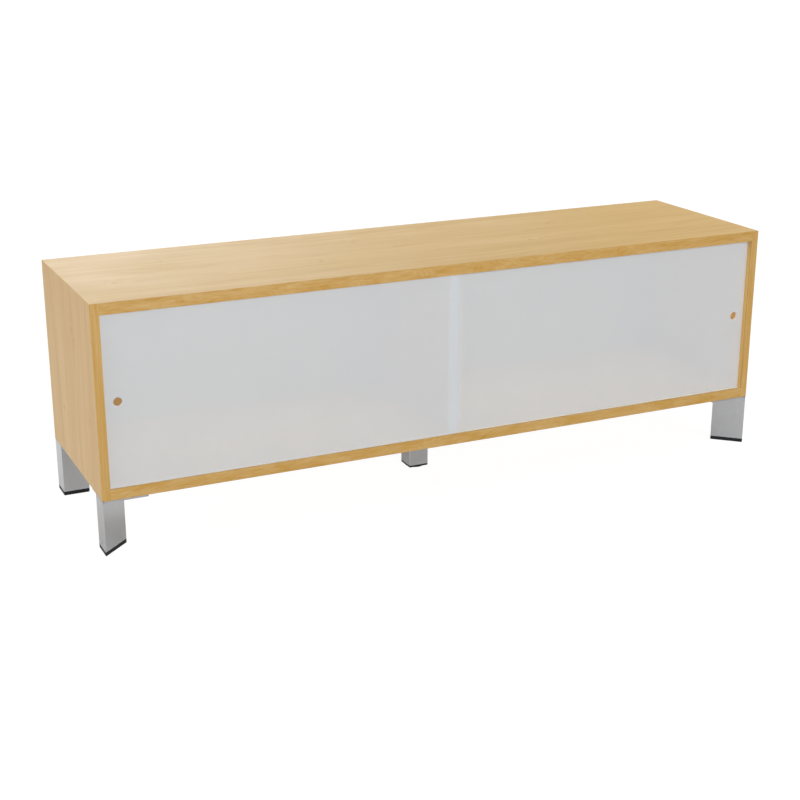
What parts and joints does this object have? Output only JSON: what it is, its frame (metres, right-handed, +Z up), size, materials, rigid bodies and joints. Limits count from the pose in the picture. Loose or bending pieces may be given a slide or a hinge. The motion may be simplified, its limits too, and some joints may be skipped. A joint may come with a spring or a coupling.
{
  "type": "sliding door cabinet",
  "caption": "Low wooden cabinet with two translucent sliding doors in twin tracks, triangular metal corner legs and a square middle leg with an adjusting glide.",
  "frame": {"origin": "on the floor under the middle of the cabinet's width and depth", "axes": "+X to the right along the width, +Y from the doors to the back, +Z up"},
  "size_m": [1.6, 0.42, 0.532],
  "materials": {
    "level_wood": "satin lacquered veneer, grain along the width",
    "upright_wood": "satin lacquered veneer, upright grain",
    "level_lipping": "satin lacquered solid wood, grain along the width",
    "upright_lipping": "satin lacquered solid wood, upright grain",
    "inner_wood": "raw",
    "back_wood": "satin lacquered veneer, upright grain",
    "door_sheet": "satin translucent white",
    "track_plastic": "satin",
    "leg_metal": "satin silver",
    "plate_metal": "satin silver",
    "foot_plastic": "satin black"
  },
  "bodies": {
    "cabinet": {"top_board": "level_wood", "bottom_board": "level_wood", "left_side_board": "upright_wood", "right_side_board": "upright_wood", "top_left_spline": "inner_wood", "top_right_spline": "inner_wood", "bottom_left_spline": "inner_wood", "bottom_right_spline": "inner_wood", "left_lipping": "upright_lipping", "right_lipping": "upright_lipping", "top_lipping": "level_lipping", "bottom_lipping": "level_lipping", "centre_divider": "upright_wood", "back_panel": "back_wood", "lower_track": "track_plastic", "upper_track": "track_plastic", "front_left_leg": "leg_metal", "front_left_foot_cap": "foot_plastic", "front_left_plate": "plate_metal", "front_right_leg": "leg_metal", "front_right_foot_cap": "foot_plastic", "front_right_plate": "plate_metal", "back_left_leg": "leg_metal", "back_left_foot_cap": "foot_plastic", "back_left_plate": "plate_metal", "back_right_leg": "leg_metal", "back_right_foot_cap": "foot_plastic", "back_right_plate": "plate_metal", "centre_leg": "leg_metal", "centre_leg_cap": "foot_plastic", "centre_plate": "plate_metal"},
    "front_sliding_door": {"left_door": "door_sheet"},
    "rear_sliding_door": {"right_door": "door_sheet"},
    "glide": {"centre_glide": "foot_plastic"}
  },
  "joints": [
    {"name": "left_door_slide", "type": "slide", "parent": "cabinet", "child": "front_sliding_door", "axis": [1, 0, 0], "range_m": [0, 0.7715]},
    {"name": "right_door_slide", "type": "slide", "parent": "cabinet", "child": "rear_sliding_door", "axis": [-1, 0, 0], "range_m": [0, 0.7715]},
    {"name": "glide_height", "type": "slide", "parent": "cabinet", "child": "glide", "axis": [0, 0, -1], "range_m": [0, 0.006]}
  ]
}
